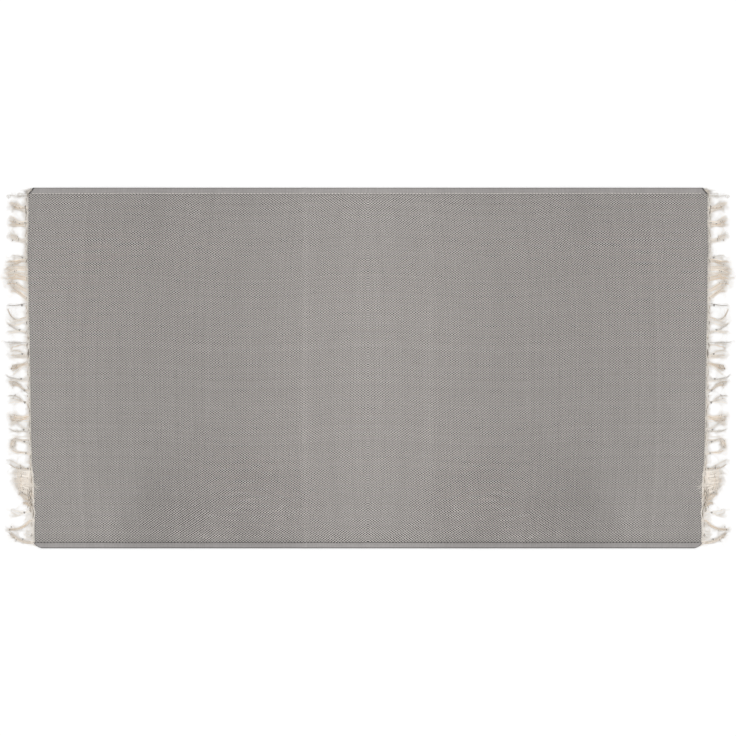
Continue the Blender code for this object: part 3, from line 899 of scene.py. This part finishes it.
fluff = {
    "fibres": 2.0,  # short loose fibres for each yarn of a lock
    "leastFibres": 8,
    "haze": 600,  # more of them, strewn along the whole end
    "hazeReach": 7.0,  # their mean distance from the band and the furthest, in mm
    "hazeEnd": 40.0,
    "fibreWidth": 0.20 * mm,
    "fibreLengths": (5, 13),  # in mm
    "fibreLean": 0.9,
    "fibreBend": 2.6,
    "feltGrowth": 1.3,  # how much wider the fibres of felted places are
    "feltTone": 1.04,
    "frayPitch": 0.66 * mm,  # spacing of the short yarns of the bare band
    "frayWidth": 0.50 * mm,
    "frayInside": 2.2 * mm,  # how far they start inside the cloth, and at which height
    "frayRoot": 0.9 * mm,
    "frayReach": (0.45, 1.25),  # shares of the band's width: the shortest, and what is added to it
    "frayLean": 0.35,
    "frayClear": 1.2 * mm,  # none comes nearer to the towel's long edges
    "frayFade": (0.7, 0.6, 0.25, 0.1),  # how grey they are from root to tip
    "cornerFade": (1, 0.9, 0.7, 0.3),  # and above this height, at the dark upper corner
    "cornerFrom": 430 * mm,
    "looseEnds": 130,  # short ends of weft along the bare band
    "endWidths": (0.6, 1.2),  # in mm, as are the lengths of the ends and of the brown marks
    "endLengths": (2, 10),
    "markLengths": (4, 9),
    "wefts": ((0.9, 0.25), (2.2, 0.05), (3.8, 0.12), (6.0, 0.03)),  # on the band: mm past the cloth, greyness
    "weftWidth": 0.6 * mm,
    "weftStep": 3.0,
}
# Greyness of the bare band: height across the towel in mm, greyness there
bandGreys = [
    (-440, 0.03), (-400, 0.05), (-300, 0.24), (0, 0.36), (250, 0.48), (425, 0.48), (437, 0.7), (450, 0.65),
]
# Loose wefts at the cloth's edge: distance past the cloth, upper and lower end, bow and width, all in mm,
# then greyness
snagRows = [
    (4.8, 407, 396, 1.4, 1.6, 0.8), (4.2, 393, 383, -1.5, 1.7, 0.8), (3.4, 118, 108, 1.3, 1.8, 0.8),
    (2.6, 48, 27, -1.6, 2.2, 0.86), (4.2, 62, 50, 1.2, 1.4, 0.7), (1.2, 41, 31, 0.6, 1.2, 0.8),
    (0.8, -100, -122, 0.8, 0.9, 0.6), (1.0, -128, -152, 0.8, 1.1, 0.7), (0.8, -160, -186, -0.8, 0.9, 0.6),
    (2.0, -250, -256, 1.2, 1.3, 0.8), (3.0, 262, 238, 0.7, 0.7, 0.6), (3.4, -2, -22, 1.0, 0.8, 0.6),
    (1.5, -268, -292, 1.5, 1.0, 0.4), (3.0, -296, -318, 1.2, 1.0, 0.7), (6.5, -300, -330, 2.5, 0.9, 0.6),
    (3.5, -322, -342, -6.0, 1.2, 0.0), (3.2, -337, -346, 0.5, 2.4, 0.75), (1.5, -345, -378, -5.0, 1.3, 0.0),
    (2.6, -348, -376, -2.2, 1.5, 0.75), (5.6, -350, -382, 0.9, 1.0, 0.0), (4.0, -384, -398, 2.5, 1.0, 0.5),
]
# Coiled loops of loose weft: place, radius, turns, travel over all turns, width and lightness, lengths in mm
loopRows = [
    (874, 431, 5.0, 1.7, -9, 2, 0.9, 0.70), (869, 427, 3.4, 1.3, 5, 3, 0.8, 0.72),
    (897, 430, 3.6, 1.5, 5, -3, 0.8, 0.66), (893, 45, 4.2, 2.2, -14, -10, 0.5, 0.88),
    (838, -262, 2.2, 4.5, -1, -52, 1.0, 1.0), (895, 339, 3.8, 1.8, 3, -6, 0.7, 0.78),
    (897, 331, 3.0, 1.6, 6, -3, 0.7, 0.78), (846, -150, 2.2, 4.4, 2, -64, 0.8, 0.98),
    (857, 60, 2.4, 3.2, -1, -50, 0.7, 0.98), (861, 250, 2.4, 4.3, 0, -70, 0.7, 1.0),
]
# Felted places, in mm: distance from the towel's middle, height across it, half sizes, loose fibres
feltPlaces = [
    (868, -262, 12, 9, 130), (864, -288, 13, 11, 150), (852, -312, 9, 8, 90), (892, -196, 7, 11, 60),
    (890, 235, 9, 22, 120), (893, -122, 8, 8, 50), (852, -385, 6, 22, 110), (852, -420, 5, 8, 40),
]
# Brown marks in the felt, in the same columns
markPlaces = [(845, -307, 3, 8, 9), (846, -322, 4, 12, 22), (843, -340, 2, 14, 14), (866, -262, 11, 10, 6)]


def layFluff(lines, row, dice):  # short loose fibres in and round one lock
    places, widths, yarns, lightness = row[:4]
    places, widths = np.array(places) * mm, np.array(widths) * mm
    for _ in range(fluff["leastFibres"] + int(yarns * fluff["fibres"])):
        t = dice.uniform(0.1, 1.04) + np.array([-0.01, 0, 0.01])
        middle, across, halfWidth = alongLock(places, widths, t)
        spot = middle[1] + across[1] * dice.normal() * (0.5 * halfWidth[1] + 1.6 * mm)
        lines.add(fibre(spot, dice), fluff["fibreWidth"], lightness, 0.0, 0.15 * dice.random())


def fibre(spot, dice):  # a short curved fibre about a spot
    heading = dice.uniform(-fluff["fibreLean"], fluff["fibreLean"]) + (pi if dice.random() < 0.5 else 0)
    length = dice.uniform(*fluff["fibreLengths"]) * mm
    bend = dice.uniform(-fluff["fibreBend"], fluff["fibreBend"])
    angles = heading + bend * np.linspace(-0.5, 0.5, 4)
    moves = np.stack([np.cos(angles), np.sin(angles)], 1) * length / 4
    flat = spot + np.vstack([[0, 0], np.cumsum(moves, axis=0)]) - moves.sum(axis=0) / 2
    heights = (0.2 + 1.9 * dice.random() + 0.5 * dice.uniform(-1, 1, 5)) * mm
    return np.column_stack([flat, heights])


def layFray(lines, dice):  # short yarns of the bare band
    edge = cloth["halfWidth"] - fluff["frayClear"]
    inside, (least, more) = fluff["frayInside"], fluff["frayReach"]
    t = np.array([0, 0.3, 0.65, 1])
    for y in np.arange(-edge, edge, fluff["frayPitch"]):
        at = y + dice.uniform(-0.4, 0.4) * mm
        reach = bandWidth(at) * (least + more * dice.random() ** 1.7)
        lean = dice.normal() * reach * fluff["frayLean"]
        high = 0.4 * mm + (0.3 + dice.random()) * mm * np.sin(pi * t)
        points = np.column_stack([clothReach(at) - inside + (reach + inside) * t, at + lean * t ** 2, high])
        points[0, 2] = fluff["frayRoot"]
        points[:, 1] = np.clip(points[:, 1], -edge, edge)
        fade = np.array(fluff["frayFade"] if at < fluff["cornerFrom"] else fluff["cornerFade"])
        grey = fade * bandGrey(at) * dice.uniform(0.4, 1.6)
        lines.add(points, fluff["frayWidth"] * np.array([1, 1, 0.8, 0.4]), dice.uniform(0.90, 1.04), grey)


def layBand(lines, dice):  # loose wefts along the band, their ends, brown marks, snags and coiled loops
    for offset, grey in fluff["wefts"]:
        y = np.arange(-446, 447, fluff["weftStep"]) * mm
        roam = 0.5 * np.sin(y / (23 * mm) + offset) + 0.35 * np.sin(y / (7.1 * mm) + 2 * offset)
        x = clothReach(y) + (offset + roam + dice.uniform(-0.3, 0.3, len(y))) * mm
        high = (1.1 + 0.2 * np.sin(y / (4 * mm))) * mm
        lines.add(np.column_stack([x, y, high]), fluff["weftWidth"], 0.98, grey)
    for _ in range(fluff["looseEnds"]):
        y = dice.uniform(-440, 436) * mm
        x = clothReach(y) + dice.uniform(0.3, 5.5) * mm
        layEnd(lines, x, y, dice.uniform(*fluff["endLengths"]), dice)
    for x, y, reachX, reachY, count in markPlaces:
        for _ in range(count):
            layEnd(lines, (x + reachX * dice.normal()) * mm, (y + reachY * dice.normal()) * mm,
                   dice.uniform(*fluff["markLengths"]), dice)
    for past, upper, lower, bow, wide, grey in snagRows:
        t = np.linspace(0, 1, 7)
        y = (upper + (lower - upper) * t) * mm
        x = clothReach(y) + (past + bow * np.sin(pi * t)) * mm
        taper = np.array([0.4, 0.8, 1, 1, 1, 0.8, 0.4])
        lines.add(np.column_stack([x, y, (1.5 + 0.9 * np.sin(pi * t)) * mm]), wide * mm * taper,
                  1.06 - 0.1 * grey, grey, 0.8 * (grey > 0))
    for x, y, radius, turns, travelX, travelY, width, lightness in loopRows:
        t = np.linspace(0, 1, int(turns * 17) + 2)
        angle = 2 * pi * turns * t + 1
        swing = radius * (1 + 0.2 * np.sin(t * 9 + x) + 0.3 * np.sin(1.6 * angle + y))
        loopX = x + travelX * t + swing * np.cos(angle)
        loopY = y + travelY * t + swing * np.sin(angle)
        points = np.column_stack([loopX, loopY, 1.6 + 0.7 * np.sin(angle * 0.5)])
        lines.add(points * mm, width * mm, lightness)


def layHaze(lines, dice):  # loose fibres along the whole end, and more of them in the felted places
    for _ in range(fluff["haze"]):
        y = dice.uniform(-445, 445) * mm
        out = min(dice.exponential(fluff["hazeReach"]), fluff["hazeEnd"]) * mm
        lines.add(fibre(np.array([clothReach(y) + 3 * mm + out, y]), dice), fluff["fibreWidth"], 1.0)
    for x, y, reachX, reachY, count in feltPlaces:
        for _ in range(count):
            spot = np.array([x + reachX * dice.normal(), y + reachY * dice.normal()]) * mm
            lines.add(fibre(spot, dice), fluff["feltGrowth"] * fluff["fibreWidth"], fluff["feltTone"])


def layEnd(lines, x, y, length, dice):  # a short loose end of grey or brown weft, nearly across the towel
    t = np.linspace(-0.5, 0.5, 5)
    lean = dice.normal() * 0.25
    along = x + (length * lean * t + dice.uniform(-3, 3) * t * t) * mm
    points = np.column_stack([along, y + length * t * mm, (2.2 - 2.5 * t * t) * mm])
    lines.add(points, dice.uniform(*fluff["endWidths"]) * mm, 0.92, dice.uniform(0.15, 0.8), dice.random())


def bandGrey(y):
    return np.interp(y / mm, *zip(*bandGreys))


def makeFringe(side, place):
    dice = np.random.default_rng(fringe["seed"])
    locks, loose = YarnLines(), YarnLines()
    for row in lockRows:
        layLock(locks, row, dice)
    for x, y, size in knotRows:
        # knots darkened with painted shade in their crevices
        locks.add(knotLine(x, y, fringe["knotGrowth"] * size), fringe["knotYarn"], fringe["knotShade"],
                  dice.uniform(*fringe["knotGreys"]), closed=True)
    for row in lockRows:
        layFluff(loose, row, dice)
    layFray(loose, dice)
    layBand(loose, dice)
    layHaze(loose, dice)
    dice = np.random.default_rng(fringe["seed"] + 1)  # fresh draws, apart from those above
    for row in fillRows:
        layLock(locks, row, dice)
    for x, y, reachX, reachY, count in fleckPlaces:
        for _ in range(count):
            layEnd(locks, (x + reachX * dice.uniform(-1, 1)) * mm, (y + reachY * dice.uniform(-1, 1)) * mm,
                   dice.uniform(*fringe["fleckLengths"]), dice)
    return [yarnSweep.run(locks.asObject("fringe_yarns_" + place, side)),
            yarnSweep.run(loose.asObject("fringe_fluff_" + place, side))]


yarnLook = {
    "cream": (0.95, 0.90, 0.835, 1),
    "tan": (0.74, 0.585, 0.42, 1),
    "grey": (0.085, 0.078, 0.072, 1),
    "twist": 3.2 * mm,  # one turn of the ply
    "fibres": 900,  # so many a metre
    "tanPatches": 0.25,  # patches of more or less tan, so many a metre
    "tanSpots": 30,
    "clumps": 0.14,  # lighter and darker patches, so many a metre
    "clumpSpots": 45,
    "depth": 0.12 * mm,
}


def paintYarn(tree):
    tone, grey, tan, along = (Wire(attribute(tree, name)) for name in ("tone", "grey", "tan", "along"))
    ring = separate(attribute(tree, "ringPlace", "Vector"))
    place = addNode(tree, "ShaderNodeTexCoord").outputs["Object"]
    twist = along * (2 * pi / yarnLook["twist"])
    ply = abs(ring[0] * twist.cosine() + ring[1] * twist.sine())
    fibres = noise(place, yarnLook["fibres"], 2)
    height = ply + fibres * 0.6
    # painted shade in the grooves of the yarn's ply, with random fibre tone
    shade = 0.95 + ply * 0.08 + fibres * 0.10
    clump = noise(place, yarnLook["clumpSpots"], 1) * yarnLook["clumps"] + 1
    warm = (tan + noise(place, yarnLook["tanSpots"], 1) * yarnLook["tanPatches"]).larger(0.0)
    colour = mixColours(warm, yarnLook["cream"], yarnLook["tan"])
    colour = mixColours(grey, colour, yarnLook["grey"])
    return scaleColour(colour, tone * shade * clump), height, yarnLook["depth"]


yarnFinish = cotton("undyed cotton yarn", paintYarn)
yarnSweep = yarnTree("yarn along lines", {"Sides": fringe["sides"]}, yarnFinish)
leftFringe = makeFringe(-1, "left")
rightFringe = makeFringe(1, "right")
for piece in leftFringe:
    print("towel:", piece.name, len(piece.data.polygons), "faces")


studio = {
    "room": 0.93,  # light of the pale room
    "lamp": 1.18,  # light of the soft lamp
    "lampTurn": (-8, 0, 0),
    "lampSpread": 50,
    "floor": 40.0,  # half the floor's side
    "floorDepth": -0.2 * mm,
    "floorTone": 0.80,
    "lens": 100,
    "film": 36,
    "view": 1.84,  # what the picture's width takes in
}


def addStage():
    size, depth, tone = studio["floor"], studio["floorDepth"], studio["floorTone"]
    corners = [(x * size, y * size, depth) for x, y in ((-1, -1), (1, -1), (1, 1), (-1, 1))]
    paper = bpy.data.materials.new("white paper")
    paper.use_nodes = True
    shader = paper.node_tree.nodes["Principled BSDF"]
    shader.inputs["Base Color"].default_value = (tone, tone, tone, 1)
    shader.inputs["Roughness"].default_value = 1.0
    shader.inputs["Specular IOR Level"].default_value = 0.0
    floor = meshObject("floor", corners, [(0, 1, 2, 3)], paper)


def addLight():
    world = bpy.data.worlds.new("pale room")
    world.use_nodes = True
    world.node_tree.nodes["Background"].inputs["Color"].default_value = (1, 1, 1, 1)
    world.node_tree.nodes["Background"].inputs["Strength"].default_value = studio["room"]
    bpy.context.scene.world = world
    lamp = bpy.data.lights.new("soft lamp", "SUN")
    lamp.energy = studio["lamp"]
    lamp.angle = math.radians(studio["lampSpread"])
    holder = bpy.data.objects.new("soft lamp", lamp)
    holder.rotation_euler = [math.radians(turn) for turn in studio["lampTurn"]]
    bpy.context.scene.collection.objects.link(holder)


def addCamera():
    lens = bpy.data.cameras.new("camera")
    lens.lens = studio["lens"]
    lens.sensor_width = studio["film"]
    lens.sensor_fit = "HORIZONTAL"
    camera = bpy.data.objects.new("camera", lens)
    camera.location = (0, 0, studio["view"] * lens.lens / lens.sensor_width)
    bpy.context.scene.collection.objects.link(camera)
    bpy.context.scene.camera = camera
    bpy.context.scene.view_settings.view_transform = "Standard"


addStage()
addLight()
addCamera()

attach(wovenCloth, "root")
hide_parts("cloth")
for stitches in (upperStitches, lowerStitches):
    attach(stitches, "root")
for name, pieces in (("fringe_left", leftFringe), ("fringe_right", rightFringe)):
    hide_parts(name)
    for piece in pieces:
        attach(piece, "root")
